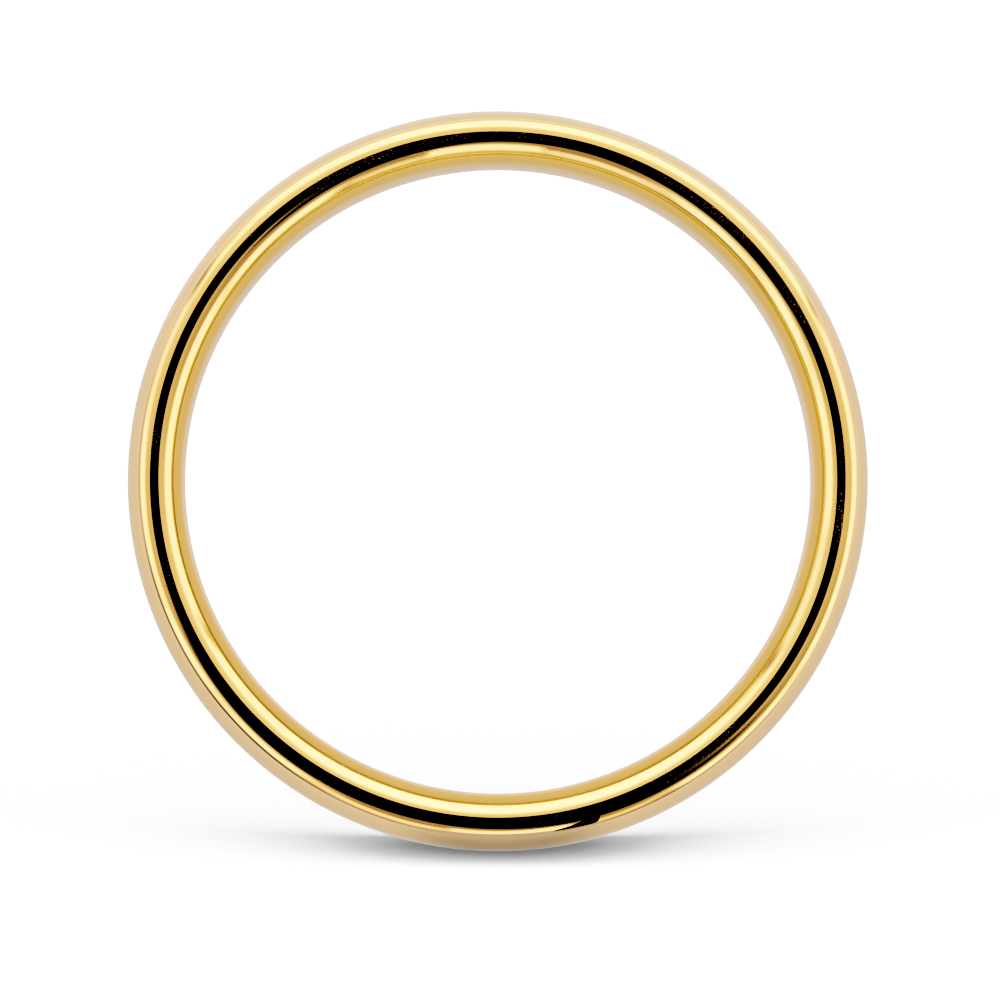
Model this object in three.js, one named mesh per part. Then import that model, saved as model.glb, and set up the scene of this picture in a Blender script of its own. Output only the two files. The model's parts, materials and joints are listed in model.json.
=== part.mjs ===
// A plain comfort-fit wedding band in polished yellow gold, in millimetres.
// The finger hole runs along Y, Z is up, and the origin is the centre of the ring.
// The ring is one seamless piece of metal, so it is one closed solid of revolution.

import * as THREE from 'three';

// Driving dimensions
const INNER_DIAMETER = 17.3; // across the crown of the hole: 54 mm round the finger
const WALL = 1.6; // from the crown of the hole to the crown of the outside
const WIDTH = 4; // along the finger

// The section is the same on both sides of its middle. Each side face has a narrow flat land, and
// a chain of tangent arcs runs from each edge of the land to a crown at the middle of the width.
// An arc lasts until its surface has turned through the angle given, in degrees from the land.
// The crown arc takes up the rest of the half width, so its radius follows from the others.
const OUTER_EDGE_ARCS = [
  { radius: 0.72, until: 11, steps: 1 },
  { radius: 0.37, until: 70, steps: 5 },
];
const OUTER_CROWN_STEPS = 3;
const INNER_EDGE_ARCS = [
  { radius: 0.52, until: 45, steps: 3 },
  { radius: 0.98, until: 84, steps: 3 },
];
const INNER_CROWN_STEPS = 1;

const SEGMENTS_AROUND = 96;
const GOLD_COLOUR = 0xe6bf6a;
const GOLD_ROUGHNESS = 0.06;

// Derived sizes
const HALF_WIDTH = WIDTH / 2;
const INNER_RADIUS = INNER_DIAMETER / 2;
const OUTER_RADIUS = INNER_RADIUS + WALL;
const CROWN_ANGLE = 90;

// Points of one quarter of the section, from an edge of the land to the crown.
// inward is the distance from the land's plane, and rise is the distance from the land's edge.
function quarterSection(edgeArcs, crownSteps) {
  const points = [{ inward: 0, rise: 0 }];
  let angle = 0;

  function addArc(radius, until, steps) {
    const start = points.at(-1);
    const from = THREE.MathUtils.degToRad(angle);
    for (let step = 1; step <= steps; step += 1) {
      const turned = THREE.MathUtils.degToRad(angle + (step / steps) * (until - angle));
      points.push({
        inward: start.inward + radius * (Math.cos(from) - Math.cos(turned)),
        rise: start.rise + radius * (Math.sin(turned) - Math.sin(from)),
      });
    }
    angle = until;
  }

  for (const arc of edgeArcs) {
    addArc(arc.radius, arc.until, arc.steps);
  }
  const inwardLeft = HALF_WIDTH - points.at(-1).inward;
  const crownRadius = inwardLeft / Math.cos(THREE.MathUtils.degToRad(angle));
  addArc(crownRadius, CROWN_ANGLE, crownSteps);
  return points;
}

// The outline of the section, as distances from the axis and along it. It closes on itself.
function sectionOutline() {
  const outer = quarterSection(OUTER_EDGE_ARCS, OUTER_CROWN_STEPS);
  const inner = quarterSection(INNER_EDGE_ARCS, INNER_CROWN_STEPS);
  const outerRise = outer.at(-1).rise;
  const innerRise = inner.at(-1).rise;

  const outerPoint = (point, side) => new THREE.Vector2(
    OUTER_RADIUS - outerRise + point.rise,
    side * (HALF_WIDTH - point.inward),
  );
  const innerPoint = (point, side) => new THREE.Vector2(
    INNER_RADIUS + innerRise - point.rise,
    side * (HALF_WIDTH - point.inward),
  );

  const outline = [
    ...outer.map((point) => outerPoint(point, -1)),
    ...outer.slice(0, -1).reverse().map((point) => outerPoint(point, 1)),
    ...inner.map((point) => innerPoint(point, 1)),
    ...inner.slice(0, -1).reverse().map((point) => innerPoint(point, -1)),
  ];
  outline.push(outline[0].clone());
  return outline;
}

function band() {
  const gold = new THREE.MeshStandardMaterial({
    color: GOLD_COLOUR,
    roughness: GOLD_ROUGHNESS,
    metalness: 1,
  });
  const mesh = new THREE.Mesh(new THREE.LatheGeometry(sectionOutline(), SEGMENTS_AROUND), gold);
  mesh.name = 'band';
  return mesh;
}

const group = new THREE.Group();
group.add(band());

export default group;
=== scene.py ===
"""A polished yellow gold wedding band standing on its rim in a jeweller's white light tent."""

import json
import math

import bpy
from mathutils import Matrix, Vector


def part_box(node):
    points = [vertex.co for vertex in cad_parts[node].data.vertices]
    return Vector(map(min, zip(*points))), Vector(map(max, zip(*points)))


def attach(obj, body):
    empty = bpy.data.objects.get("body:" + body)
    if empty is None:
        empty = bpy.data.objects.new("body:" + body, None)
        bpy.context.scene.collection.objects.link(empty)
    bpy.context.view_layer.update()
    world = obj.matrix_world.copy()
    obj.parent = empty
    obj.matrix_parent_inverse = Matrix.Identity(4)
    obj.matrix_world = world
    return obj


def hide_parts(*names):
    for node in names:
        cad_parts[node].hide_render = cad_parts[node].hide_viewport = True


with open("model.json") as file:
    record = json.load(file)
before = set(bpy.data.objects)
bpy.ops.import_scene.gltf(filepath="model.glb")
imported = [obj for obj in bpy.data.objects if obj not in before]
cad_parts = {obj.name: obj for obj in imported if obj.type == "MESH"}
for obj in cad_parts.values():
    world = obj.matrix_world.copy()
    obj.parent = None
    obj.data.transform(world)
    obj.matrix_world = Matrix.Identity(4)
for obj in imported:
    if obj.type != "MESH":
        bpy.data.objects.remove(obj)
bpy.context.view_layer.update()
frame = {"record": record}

MM = 0.001

# The band's section, as in the CAD model: from the flat land on each side, arcs of a radius and
# the angle they turn to, in degrees, with the number of steps. The crown arc follows from the rest.
OUTER_EDGE_ARCS = [(0.72 * MM, 11, 5), (0.37 * MM, 70, 20)]
OUTER_CROWN_STEPS = 12
INNER_EDGE_ARCS = [(0.52 * MM, 45, 14), (0.98 * MM, 84, 12)]
INNER_CROWN_STEPS = 6
CROWN_ANGLE = 90
LAND_STEPS = 2
STEPS_AROUND = 512
UV_NAME = "around_and_across"

# Sizes that the frame holds
BAND_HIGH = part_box("band")[1]
OUTER_RADIUS = BAND_HIGH.z
HALF_WIDTH = BAND_HIGH.y
FINGER_MOUNT = next(m for m in frame["record"]["mounts"] if m["name"] == "finger")
INNER_RADIUS = FINGER_MOUNT["dims"]["r_mm"] * MM

# The ring leans back on its rim a little. The part keeps its own upright frame, so it is the stage
# that is tilted. The camera is nearly level, a little below the ring's axis and to its left.
LEAN_BACK = math.radians(13)
STAGE_TURN = Matrix.Rotation(LEAN_BACK, 4, "X")
CAMERA_BELOW_AXIS = math.radians(2.5)
CAMERA_LEFT_OF_AXIS = math.radians(0.4)
CAMERA_DISTANCE = 0.25
CAMERA_LENS = 325
CAMERA_SENSOR = 36
CAMERA_CLIP = (0.01, 10)
AIM_BELOW_CENTRE = 0.53 * MM
AIM_RIGHT = 0.06 * MM

# The camera's contrast curve, from scene light to picture
TONE_WHITE = 2.0
TONE_POINTS = ((0.1, 0.011), (0.3, 0.215), (0.5, 0.506), (0.85, 0.84), (1.2, 0.955))
COMBINED_CURVE = 3

# The gold's colour, which varies a little from place to place, and its tint at a glancing angle
GOLD_LIGHT = (0.935, 0.71, 0.355, 1)
GOLD_DEEP = (0.925, 0.69, 0.335, 1)
GOLD_EDGE = (1.0, 0.97, 0.83, 1)

# The gold's polish, from its smoothest to its dullest, and what a scratch adds to it
POLISH_ROUGHNESS = (0.03, 0.055)
POLISH_LEVELS = (0.3, 0.7)
SCRATCH_ROUGHNESS = 0.06

# Noises of the gold's surface, each as scale, detail and roughness
CLOUDS = (420.0, 3.0, 0.55)
WAVES = (260.0, 2.0, 0.45)
SPECKS = (17000.0, 1.0, 0.5)
LAPS = (1.0, 3.0, 0.6)
HAIRS = (1.0, 1.0, 0.4)

# Lap lines are long round the band and fine across it. Hairline scratches are long one way and fine
# the other two, in a few directions. Pits are specks where the clouds show that the gold is worn.
LAP_STRETCH = (9, 700, 1)
HAIR_STRETCH = (500, 26000, 26000)
HAIR_TURNS = ((0.4, 0.9, 0.2), (1.3, 0.2, 0.8), (2.2, 1.9, 0.5))
HAIR_LEVELS = (0.73, 0.75)
PIT_LEVELS = (0.58, 0.78)
WORN_LEVELS = (0.40, 0.62)

# How high each stands, or how deep it goes
WAVE_HEIGHT = 0.0016 * MM
LAP_HEIGHT = 0.00012 * MM
HAIR_DEPTH = 0.00012 * MM
PIT_DEPTH = 0.001 * MM


# ---------------------------------------------------------------------------------------------
# Node helpers
# ---------------------------------------------------------------------------------------------

# The Mix node's colour sockets by number, because their names repeat
MIX_SHARE, MIX_FIRST, MIX_SECOND, MIX_RESULT = 0, 6, 7, 2

# Light Path counts are whole numbers, so these halves tell none from one, and one from two
NO_BOUNCE = 0.5
ONE_BOUNCE = 1.5


def new_node(tree, kind, inputs=None, **settings):
    """Adds a node, sets its properties, and sets or links its inputs by name or number."""
    node = tree.nodes.new(kind)
    for name, value in settings.items():
        setattr(node, name, value)
    for key, value in (inputs or {}).items():
        if isinstance(value, bpy.types.NodeSocket):
            tree.links.new(value, node.inputs[key])
        else:
            node.inputs[key].default_value = value
    return node


def calculate(tree, operation, *values):
    """The result of one Math node."""
    return new_node(tree, "ShaderNodeMath", dict(enumerate(values)), operation=operation).outputs[0]


def ramp_between(tree, value, start, end, low=0.0, high=1.0):
    """Turns value smoothly from low at start to high at end."""
    inputs = {"Value": value, "From Min": start, "From Max": end, "To Min": low, "To Max": high}
    node = new_node(tree, "ShaderNodeMapRange", inputs, interpolation_type="SMOOTHSTEP")
    return node.outputs["Result"]


def blend(tree, share, first, second):
    """The colour first where share is 0, and second where it is 1."""
    inputs = {MIX_SHARE: share, MIX_FIRST: first, MIX_SECOND: second}
    return new_node(tree, "ShaderNodeMix", inputs, data_type="RGBA").outputs[MIX_RESULT]


def noise(tree, vector, scale, detail, roughness):
    inputs = {"Vector": vector, "Scale": scale, "Detail": detail, "Roughness": roughness}
    return new_node(tree, "ShaderNodeTexNoise", inputs).outputs["Fac"]


def opaque(colour):
    return (*colour, 1.0)


# ---------------------------------------------------------------------------------------------
# The band
# ---------------------------------------------------------------------------------------------


def quarter_section(edge_arcs, crown_steps):
    """(inward, rise, normal angle) from an edge of the land to the crown at mid width."""
    points = [(0.0, 0.0, 0.0)]

    def add_arc(radius, until, steps):
        inward, rise, start = points[-1]
        for step in range(1, steps + 1):
            angle = start + (math.radians(until) - start) * step / steps
            points.append((
                inward + radius * (math.cos(start) - math.cos(angle)),
                rise + radius * (math.sin(angle) - math.sin(start)),
                angle,
            ))

    for radius, until, steps in edge_arcs:
        add_arc(radius, until, steps)
    inward, _, angle = points[-1]
    add_arc((HALF_WIDTH - inward) / math.cos(angle), CROWN_ANGLE, crown_steps)
    return points


def section_outline():
    """The closed section as (radius, y, normal's radial part, normal's y part)."""
    outer = quarter_section(OUTER_EDGE_ARCS, OUTER_CROWN_STEPS)
    inner = quarter_section(INNER_EDGE_ARCS, INNER_CROWN_STEPS)
    outer_land = OUTER_RADIUS - outer[-1][1]
    inner_land = INNER_RADIUS + inner[-1][1]

    def placed(point, side, land, out):
        inward, rise, angle = point
        return (
            land + out * rise,
            side * (HALF_WIDTH - inward),
            out * math.sin(angle),
            side * math.cos(angle),
        )

    def land_between(start, end, side):
        steps = [step / LAND_STEPS for step in range(1, LAND_STEPS)]
        return [(start + (end - start) * t, side * HALF_WIDTH, 0.0, side) for t in steps]

    outline = [placed(p, -1, outer_land, 1) for p in outer]
    outline += [placed(p, 1, outer_land, 1) for p in outer[-2::-1]]
    outline += land_between(outer_land, inner_land, 1)
    outline += [placed(p, 1, inner_land, -1) for p in inner]
    outline += [placed(p, -1, inner_land, -1) for p in inner[-2::-1]]
    outline += land_between(inner_land, outer_land, -1)
    return outline


def band_mesh():
    """The section turned about Y, with the exact normals of its arcs and a map round and across."""
    outline = section_outline()
    across = len(outline)
    vertices, normals, faces = [], [], []
    for step in range(STEPS_AROUND):
        turn = 2 * math.pi * step / STEPS_AROUND
        for radius, y, normal_out, normal_y in outline:
            vertices.append((radius * math.sin(turn), y, radius * math.cos(turn)))
            normals.append((normal_out * math.sin(turn), normal_y, normal_out * math.cos(turn)))
    for step in range(STEPS_AROUND):
        following = (step + 1) % STEPS_AROUND
        for place in range(across):
            beyond = (place + 1) % across
            faces.append((
                step * across + place,
                following * across + place,
                following * across + beyond,
                step * across + beyond,
            ))
    mesh = bpy.data.meshes.new("band_gold")
    mesh.from_pydata(vertices, [], faces)

    ends = outline[1:] + outline[:1]
    lengths = [math.hypot(b[0] - a[0], b[1] - a[1]) for a, b in zip(outline, ends)]
    along = [sum(lengths[:place]) for place in range(across + 1)]
    layer = mesh.uv_layers.new(name=UV_NAME)
    corner = 0
    for step in range(STEPS_AROUND):
        left, right = step / STEPS_AROUND, (step + 1) / STEPS_AROUND
        for place in range(across):
            low, high = along[place], along[place + 1]
            for u, v in ((left, low), (right, low), (right, high), (left, high)):
                layer.data[corner].uv = (u, v / along[-1])
                corner += 1

    mesh.polygons.foreach_set("use_smooth", [True] * len(mesh.polygons))
    mesh.normals_split_custom_set_from_vertices(normals)
    mesh.update()
    return mesh


def hairlines(tree, coordinates, turn):
    """Fine straight scratches in one direction: 1 on a scratch and 0 elsewhere."""
    turned = new_node(tree, "ShaderNodeMapping", {"Vector": coordinates, "Rotation": turn})
    stretch = {"Vector": turned.outputs[0], "Scale": HAIR_STRETCH}
    stretched = new_node(tree, "ShaderNodeMapping", stretch)
    return ramp_between(tree, noise(tree, stretched.outputs[0], *HAIRS), *HAIR_LEVELS)


def bumps(tree, heights):
    """The normal of a surface with all the heights, each given with how high it stands."""
    normal = None
    for height, distance in heights:
        inputs = {"Height": height, "Distance": abs(distance), "Strength": 1.0}
        if normal is not None:
            inputs["Normal"] = normal
        bump = new_node(tree, "ShaderNodeBump", inputs, invert=distance < 0)
        normal = bump.outputs["Normal"]
    return normal


def polished_gold():
    """Mirror-polished 18 carat gold, with a soft waviness, lap lines, hairline scratches and pits."""
    material = bpy.data.materials.new("polished_gold")
    material.use_nodes = True
    tree = material.node_tree
    shader = tree.nodes["Principled BSDF"]
    shader.inputs["Metallic"].default_value = 1.0
    shader.inputs["Specular Tint"].default_value = GOLD_EDGE

    coordinates = new_node(tree, "ShaderNodeTexCoord").outputs["Object"]
    clouds = noise(tree, coordinates, *CLOUDS)
    waves = noise(tree, coordinates, *WAVES)
    specks = noise(tree, coordinates, *SPECKS)

    round_and_across = new_node(tree, "ShaderNodeUVMap", uv_map=UV_NAME).outputs["UV"]
    lap_space = new_node(tree, "ShaderNodeMapping", {"Vector": round_and_across, "Scale": LAP_STRETCH})
    laps = noise(tree, lap_space.outputs[0], *LAPS)

    scratches = hairlines(tree, coordinates, HAIR_TURNS[0])
    for turn in HAIR_TURNS[1:]:
        scratches = calculate(tree, "MAXIMUM", scratches, hairlines(tree, coordinates, turn))

    worn = ramp_between(tree, clouds, *WORN_LEVELS)
    pits = calculate(tree, "MULTIPLY", ramp_between(tree, specks, *PIT_LEVELS), worn)

    polish = ramp_between(tree, clouds, *POLISH_LEVELS, *POLISH_ROUGHNESS)
    rough = calculate(tree, "MULTIPLY_ADD", scratches, SCRATCH_ROUGHNESS, polish)
    heights = ((waves, WAVE_HEIGHT), (laps, LAP_HEIGHT), (scratches, -HAIR_DEPTH), (pits, -PIT_DEPTH))

    tree.links.new(blend(tree, clouds, GOLD_DEEP, GOLD_LIGHT), shader.inputs["Base Color"])
    tree.links.new(rough, shader.inputs["Roughness"])
    tree.links.new(bumps(tree, heights), shader.inputs["Normal"])
    return material


def make_band():
    band = bpy.data.objects.new("gold_band", band_mesh())
    bpy.context.scene.collection.objects.link(band)
    band.data.materials.append(polished_gold())
    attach(band, "root")
    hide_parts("band")


# ---------------------------------------------------------------------------------------------
# The light tent
# ---------------------------------------------------------------------------------------------

# Directions in the tent: the azimuth goes round the line from the ring to the camera, with 0 to the
# camera's right and 90 up, and the angle off it is 0 at the camera and 180 behind the ring.

# The dim cloth in front and the backdrop behind it, each with its light at the bottom and at the
# top. Each gives way to the next over a range of angles off the camera line. The cloth goes from its
# low light to its high light over this height either way, for a direction of length 1.
FRONT_CLOTH_LOW = (0.46, 0.43, 0.44)
FRONT_CLOTH_HIGH = (0.90, 0.84, 0.86)
FRONT_CLOTH_REACH = 0.35
BACKDROP_BEGINS = (75, 100)
BACKDROP_LOW = (0.76, 0.76, 1.07)
BACKDROP_HIGH = (0.84, 0.84, 1.17)
FAR_BACKDROP_BEGINS = (122, 172)
FAR_BACKDROP_LOW = (0.56, 0.54, 0.62)
FAR_BACKDROP_HIGH = (0.80, 0.76, 0.84)
BLACK = (0.004, 0.002, 0.001)

# The panels of the tent: their azimuths with a softness, how far off the camera line they start and
# end with a softness each, and their light. The last two are strips behind the ring, for the dome.
PANELS = (
    (-30, 31, 4, 44, 9, 90, 9, (1.56, 1.34, 1.42)),
    (-60, -30, 6, 46, 11, 86, 9, (1.50, 1.36, 1.42)),
    (-76, -60, 3, 53, 12, 80, 10, (1.08, 0.95, 0.97)),
    (31, 143, 4, 40, 11, 90, 13, (1.58, 1.44, 1.47)),
    (58, 118, 16, 34, 12, 87, 12, (1.80, 1.62, 1.66)),
    (143, 165, 5, 43, 11, 79, 11, (1.42, 1.16, 1.28)),
    (165, 194, 5, 37, 12, 82, 6, (1.60, 1.31, 1.40)),
    (194, 215, 8, 31, 14, 80.5, 6, (1.50, 1.40, 1.48)),
    (215, 238, 8, 33, 14, 76, 6.5, (1.40, 1.30, 1.42)),
    (238, 262, 2, 46, 10, 78, 11, (1.25, 1.04, 1.14)),
    (262, 284, 1, 32, 10, 75, 16, (1.40, 1.25, 1.32)),
    (25, 155, 14, 153, 4, 169, 4, (0.80, 0.76, 0.92)),
    (30, 142, 10, 116, 5, 131, 5, (1.08, 1.00, 1.12)),
)

# The sewn corners of the tent, as azimuths, widths and how dark they get towards the back, with the
# angles off the camera line over which they darken and then end
SEAMS = (
    (31, 5.5, 0.45),
    (136, 9, 0.3),
    (143, 6, 0.55),
    (239, 5.5, 0.2),
    (262, 5.5, 0.15),
    (300, 5.5, 0.35),
)
SEAM_DARKENS = (45, 80)
SEAM_ENDS = (104, 88)

# The gap at the back edge of the walls: its azimuths with a softness, how far off the camera line
# its middle is, and how dark it gets. It fades out over its reach on both sides of the middle.
GAPS = (
    (160, 190, 12, 101, 0.35),
    (190, 214, 8, 97, 0.76),
    (212, 236, 6, 93, 0.88),
    (234, 258, 8, 93, 0.35),
    (286, 322, 8, 93, 0.42),
)
GAP_REACH = 13

# Round dark things in front: (azimuth, angle off the camera line, radius, softness)
DARK_SPOTS = (
    (129, 3.2, 6.95, 1.4),
    (224, 11.0, 7.9, 2.0),
    (276, 8.5, 8.0, 2.0),
    (303, 20.0, 8.5, 3.0),
)

# What the tent's light is multiplied by once it has crossed the finger hole, from gold to gold
ACROSS_HOLE_TINT = (0.76, 1.04, 1.15)


def tent_direction(azimuth, off_axis):
    """The direction with this azimuth and this angle off the camera line."""
    around, away = math.radians(azimuth), math.radians(off_axis)
    return Vector((
        math.sin(away) * math.cos(around),
        -math.cos(away),
        math.sin(away) * math.sin(around),
    ))


def build_tent():
    """The white tent that the ring reflects: bright side walls, a dimmer front cloth with the lens in
    it, and a pale backdrop. The camera sees plain white, and the floor is lit by a plain dome."""
    world = bpy.data.worlds.new("light_tent")
    bpy.context.scene.world = world
    world.use_nodes = True
    tree = world.node_tree
    background = tree.nodes["Background"]

    direction = new_node(tree, "ShaderNodeTexCoord").outputs["Generated"]
    levelling = {"Vector": direction, "Rotation": (-CAMERA_BELOW_AXIS, 0, 0)}
    levelled = new_node(tree, "ShaderNodeMapping", levelling).outputs[0]
    parts = new_node(tree, "ShaderNodeSeparateXYZ", {"Vector": levelled}).outputs
    azimuth = calculate(tree, "DEGREES", calculate(tree, "ARCTAN2", parts["Z"], parts["X"]))

    def angle_from(azimuth_off, off_axis):
        inputs = {0: levelled, 1: tent_direction(azimuth_off, off_axis)}
        dot = new_node(tree, "ShaderNodeVectorMath", inputs, operation="DOT_PRODUCT").outputs["Value"]
        return calculate(tree, "DEGREES", calculate(tree, "ARCCOSINE", dot))

    def azimuth_from(middle):
        """How far round a direction is from an azimuth, either way, in degrees."""
        offset = calculate(tree, "SUBTRACT", azimuth, middle)
        return calculate(tree, "ABSOLUTE", calculate(tree, "WRAP", offset, 180.0, -180.0))

    def between_azimuths(start, end, softness):
        half = (end - start) / 2
        return ramp_between(tree, azimuth_from((start + end) / 2), half + softness, half - softness)

    off_axis = angle_from(0, 0)
    high = ramp_between(tree, parts["Z"], -FRONT_CLOTH_REACH, FRONT_CLOTH_REACH)
    front_cloth = blend(tree, high, opaque(FRONT_CLOTH_LOW), opaque(FRONT_CLOTH_HIGH))
    high = ramp_between(tree, parts["Z"], -1.0, 1.0)
    near_backdrop = blend(tree, high, opaque(BACKDROP_LOW), opaque(BACKDROP_HIGH))
    far_backdrop = blend(tree, high, opaque(FAR_BACKDROP_LOW), opaque(FAR_BACKDROP_HIGH))
    far = ramp_between(tree, off_axis, *FAR_BACKDROP_BEGINS)
    backdrop = blend(tree, far, near_backdrop, far_backdrop)
    behind = ramp_between(tree, off_axis, *BACKDROP_BEGINS)
    colour = blend(tree, behind, front_cloth, backdrop)

    for start, end, softness, begins, begin_softness, ends, end_softness, light in PANELS:
        inside = between_azimuths(start, end, softness)
        begun = ramp_between(tree, off_axis, begins - begin_softness, begins + begin_softness)
        ended = ramp_between(tree, off_axis, ends + end_softness, ends - end_softness)
        share = calculate(tree, "MULTIPLY", calculate(tree, "MULTIPLY", inside, begun), ended)
        colour = blend(tree, share, colour, opaque(light))

    for seam, width, darkness in SEAMS:
        near = ramp_between(tree, azimuth_from(seam), width, 0.0)
        deep = ramp_between(tree, off_axis, *SEAM_DARKENS, 0.0, darkness)
        ended = ramp_between(tree, off_axis, *SEAM_ENDS)
        shade = calculate(tree, "MULTIPLY", calculate(tree, "MULTIPLY", near, deep), ended)
        colour = blend(tree, shade, colour, opaque(BLACK))

    for start, end, softness, middle, darkness in GAPS:
        inside = between_azimuths(start, end, softness)
        distance = calculate(tree, "ABSOLUTE", calculate(tree, "SUBTRACT", off_axis, middle))
        gap = ramp_between(tree, distance, GAP_REACH, 0.0)
        shade = calculate(tree, "MULTIPLY", calculate(tree, "MULTIPLY", inside, gap), darkness)
        colour = blend(tree, shade, colour, opaque(BLACK))

    for spot_azimuth, spot_off, radius, softness in DARK_SPOTS:
        away = angle_from(spot_azimuth, spot_off)
        share = ramp_between(tree, away, radius + softness, radius - softness)
        colour = blend(tree, share, colour, opaque(BLACK))

    path = new_node(tree, "ShaderNodeLightPath").outputs
    across = calculate(tree, "GREATER_THAN", path["Glossy Depth"], ONE_BOUNCE)
    tint = {0: colour, 1: ACROSS_HOLE_TINT}
    tinted = new_node(tree, "ShaderNodeVectorMath", tint, operation="MULTIPLY").outputs["Vector"]
    colour = blend(tree, across, colour, tinted)
    from_floor = calculate(tree, "GREATER_THAN", path["Diffuse Depth"], NO_BOUNCE)
    colour = blend(tree, from_floor, colour, opaque(GLINT_LIGHT))
    colour = blend(tree, path["Is Diffuse Ray"], colour, opaque(DOME_LIGHT))
    colour = blend(tree, path["Is Camera Ray"], colour, opaque((TONE_WHITE,) * 3))
    tree.links.new(colour, background.inputs["Color"])


# ---------------------------------------------------------------------------------------------
# The floor, the sheets close to the ring, the light and the camera
# ---------------------------------------------------------------------------------------------

# The floor sees a plain dome, and a cool light by way of the gold, which evens out the gold's tint
DOME_LIGHT = (0.62, 0.62, 0.62)
GLINT_LIGHT = (0.40, 0.54, 1.07)
FLOOR_SHADE = 0.9
FLOOR_REACH = 0.5
PAPER_ROUGHNESS = 0.9

# The broad light over the stage
LIGHT_ELEVATION = math.radians(45)
LIGHT_SIZE = math.radians(95)
LIGHT_STRENGTH = 6.0

# A painted dark reflection: a sliver of black sheet, upright and close in front of the ring's foot,
# that only the gold mirrors, with its corners in x and z
PAINTED_REFLECTION_CORNERS_MM = (
    (1.5, -10.9),
    (1.65, -9.95),
    (2.35, -9.43),
    (2.8, -9.24),
    (2.82, -9.6),
    (3.0, -10.9),
)
PAINTED_REFLECTION_SHADE = 0.01

# How far the black sheet of painted dark reflection and the two shades below it stand clear of the
# band's box
SHEET_GAP = 0.05 * MM

# The dim floor right under the foot, as the band mirrors it: its left and right, its front and back,
# how far it fades at the left and right, and where its light changes from front to back
FOOT_SHADE_SIDES = (-3.6 * MM, 4.0 * MM)
FOOT_SHADE_FADE = 3.0 * MM
FOOT_SHADE_ENDS = (-2.2 * MM, 1.5 * MM)
FOOT_SHADE_CHANGE = (-1.7 * MM, -0.7 * MM)
FOOT_SHADE_FRONT_LIGHT = (0.56, 0.59, 0.85)
FOOT_SHADE_BACK_LIGHT = (0.44, 0.455, 0.57)

# The shade behind the finger hole, as the wall of the hole mirrors it: a disc that fades out near
# the wall, with its middle a little above the axis
HOLE_SHADE_RADIUS = 8.85 * MM
HOLE_SHADE_RISE = 0.35 * MM
HOLE_SHADE_FADE = 0.8 * MM
HOLE_SHADE_CORNERS = 64
HOLE_SHADE_LOW_LIGHT = (0.76, 0.68, 0.68)
HOLE_SHADE_HIGH_LIGHT = (0.64, 0.62, 0.72)


def paper(name, shade):
    material = bpy.data.materials.new(name)
    material.use_nodes = True
    shader = material.node_tree.nodes["Principled BSDF"]
    shader.inputs["Base Color"].default_value = opaque((shade,) * 3)
    shader.inputs["Roughness"].default_value = PAPER_ROUGHNESS
    shader.inputs["Specular IOR Level"].default_value = 0.0
    return material


def sheet_light(name, share_and_light):
    """An even light on a clear sheet. Only light that the gold sends straight to the camera shows it,
    so that it puts no tint on the floor or on what the gold mirrors twice."""
    material = bpy.data.materials.new(name)
    material.use_nodes = True
    tree = material.node_tree
    coordinates = new_node(tree, "ShaderNodeTexCoord").outputs["Object"]
    place = new_node(tree, "ShaderNodeSeparateXYZ", {"Vector": coordinates}).outputs
    share, light = share_and_light(tree, place)
    bounces = new_node(tree, "ShaderNodeLightPath").outputs["Ray Depth"]
    first = calculate(tree, "LESS_THAN", bounces, ONE_BOUNCE)
    share = calculate(tree, "MULTIPLY", share, first)
    glow = new_node(tree, "ShaderNodeEmission", {"Color": light}).outputs[0]
    clear = new_node(tree, "ShaderNodeBsdfTransparent").outputs[0]
    mixed = new_node(tree, "ShaderNodeMixShader", {0: share, 1: clear, 2: glow}).outputs[0]
    tree.links.new(mixed, tree.nodes["Material Output"].inputs["Surface"])
    return material


def shade_under_foot(tree, place):
    """It fades out to the left and right, and changes from front to back."""
    left, right = FOOT_SHADE_SIDES
    half = (right - left) / 2
    offset = calculate(tree, "SUBTRACT", place["X"], (left + right) / 2)
    from_middle = calculate(tree, "ABSOLUTE", offset)
    share = ramp_between(tree, from_middle, half, half - FOOT_SHADE_FADE)
    towards_back = ramp_between(tree, place["Y"], *FOOT_SHADE_CHANGE)
    lights = opaque(FOOT_SHADE_FRONT_LIGHT), opaque(FOOT_SHADE_BACK_LIGHT)
    return share, blend(tree, towards_back, *lights)


def shade_behind_hole(tree, place):
    """It fades out near the wall of the hole, and changes from bottom to top."""
    sides = (place["X"], calculate(tree, "SUBTRACT", place["Z"], HOLE_SHADE_RISE))
    squares = [calculate(tree, "MULTIPLY", side, side) for side in sides]
    from_middle = calculate(tree, "SQRT", calculate(tree, "ADD", *squares))
    share = ramp_between(tree, from_middle, HOLE_SHADE_RADIUS, HOLE_SHADE_RADIUS - HOLE_SHADE_FADE)
    upwards = ramp_between(tree, place["Z"], -INNER_RADIUS, INNER_RADIUS)
    lights = opaque(HOLE_SHADE_LOW_LIGHT), opaque(HOLE_SHADE_HIGH_LIGHT)
    return share, blend(tree, upwards, *lights)


def flat_sheet(name, corners, height, turn, material):
    """A flat sheet of the stage, which is level at the height given before it is turned."""
    mesh = bpy.data.meshes.new(name)
    mesh.from_pydata([(x, y, height) for x, y in corners], [], [range(len(corners))])
    mesh.transform(turn)
    mesh.materials.append(material)
    sheet = bpy.data.objects.new(name, mesh)
    bpy.context.scene.collection.objects.link(sheet)
    return sheet


def floor_height():
    """How far below the ring's centre the floor is, touching the crown of the leaning ring."""
    inward, _, angle = quarter_section(OUTER_EDGE_ARCS, OUTER_CROWN_STEPS)[-OUTER_CROWN_STEPS - 1]
    crown_radius = (HALF_WIDTH - inward) / math.cos(angle)
    return -((OUTER_RADIUS - crown_radius) * math.cos(LEAN_BACK) + crown_radius)


def rectangle(left, right, front, back):
    return ((left, front), (right, front), (right, back), (left, back))


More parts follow.
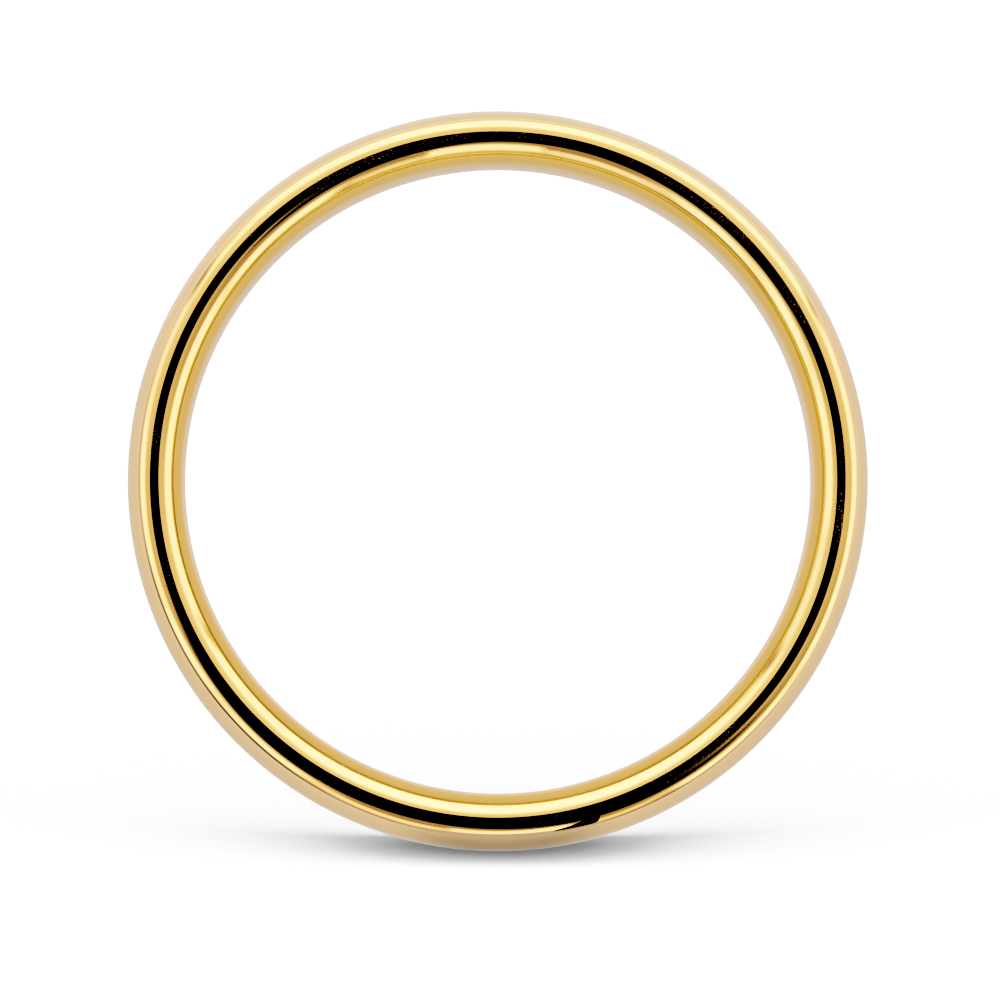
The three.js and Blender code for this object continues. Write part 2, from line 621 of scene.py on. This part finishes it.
def disc(radius, rise, corners):
    turns = [2 * math.pi * corner / corners for corner in range(corners)]
    return [(radius * math.cos(turn), rise + radius * math.sin(turn)) for turn in turns]


def build_floor():
    """The floor is white to the camera. The ring does not mirror it, so that the tent runs on round
    the foot of the band."""
    corners = rectangle(-FLOOR_REACH, FLOOR_REACH, -FLOOR_REACH, FLOOR_REACH)
    floor = flat_sheet("floor", corners, floor_height(), STAGE_TURN, paper("floor_paper", FLOOR_SHADE))
    floor.visible_glossy = False


def build_sheets():
    """The black sheet of painted dark reflection and the shades close to the ring, which only the gold
    mirrors.
    """
    level = Matrix.Identity(4)
    upright = Matrix.Rotation(math.radians(90), 4, "X")

    corners = [(x * MM, z * MM) for x, z in PAINTED_REFLECTION_CORNERS_MM]
    # The black sheet paints a dark reflection into the band's foot. The camera, the floor and the
    # shadows don't see it.
    material = paper("painted_reflection_paper", PAINTED_REFLECTION_SHADE)
    painted_reflection = flat_sheet("painted_reflection_card", corners, HALF_WIDTH + SHEET_GAP, upright, material)

    corners = rectangle(*FOOT_SHADE_SIDES, *FOOT_SHADE_ENDS)
    material = sheet_light("foot_shade_light", shade_under_foot)
    foot_shade = flat_sheet("foot_shade", corners, -OUTER_RADIUS - SHEET_GAP, level, material)

    corners = disc(HOLE_SHADE_RADIUS, HOLE_SHADE_RISE, HOLE_SHADE_CORNERS)
    material = sheet_light("hole_shade_light", shade_behind_hole)
    hole_shade = flat_sheet("hole_shade", corners, -HALF_WIDTH - SHEET_GAP, upright, material)

    for sheet in (painted_reflection, foot_shade, hole_shade):
        sheet.visible_camera = False
        sheet.visible_diffuse = False
        sheet.visible_shadow = False


def build_light():
    """One broad light from above and in front. It shades the floor; the ring mirrors the tent."""
    light = bpy.data.lights.new("overhead_light", "SUN")
    light.angle = LIGHT_SIZE
    light.energy = LIGHT_STRENGTH
    lamp = bpy.data.objects.new("overhead_light", light)
    towards = STAGE_TURN @ Matrix.Rotation(-LIGHT_ELEVATION, 4, "X") @ Vector((0, -1, 0))
    lamp.location = towards * CAMERA_DISTANCE
    lamp.rotation_mode = "QUATERNION"
    lamp.rotation_quaternion = towards.to_track_quat("Z", "Y")
    lamp.visible_glossy = False
    bpy.context.scene.collection.objects.link(lamp)


def build_camera():
    camera = bpy.data.cameras.new("camera")
    camera.lens = CAMERA_LENS
    camera.sensor_width = CAMERA_SENSOR
    camera.clip_start, camera.clip_end = CAMERA_CLIP
    holder = bpy.data.objects.new("camera", camera)
    lowered = Matrix.Rotation(CAMERA_BELOW_AXIS, 4, "X")
    towards = lowered @ Matrix.Rotation(-CAMERA_LEFT_OF_AXIS, 4, "Z") @ Vector((0, -1, 0))
    aim = Vector((AIM_RIGHT, 0, -AIM_BELOW_CENTRE))
    holder.location = towards * CAMERA_DISTANCE
    holder.rotation_mode = "QUATERNION"
    holder.rotation_quaternion = (aim - holder.location).to_track_quat("-Z", "Y")
    bpy.context.scene.collection.objects.link(holder)
    bpy.context.scene.camera = holder


def set_tone():
    """A plain display with the contrast of a product photograph."""
    view = bpy.context.scene.view_settings
    view.view_transform = "Standard"
    view.use_curve_mapping = True
    view.curve_mapping.white_level = (TONE_WHITE,) * 3
    curve = view.curve_mapping.curves[COMBINED_CURVE]
    for light, shown in TONE_POINTS:
        curve.points.new(light / TONE_WHITE, shown)
    view.curve_mapping.update()


set_tone()
make_band()
build_tent()
build_floor()
build_sheets()
build_light()
build_camera()
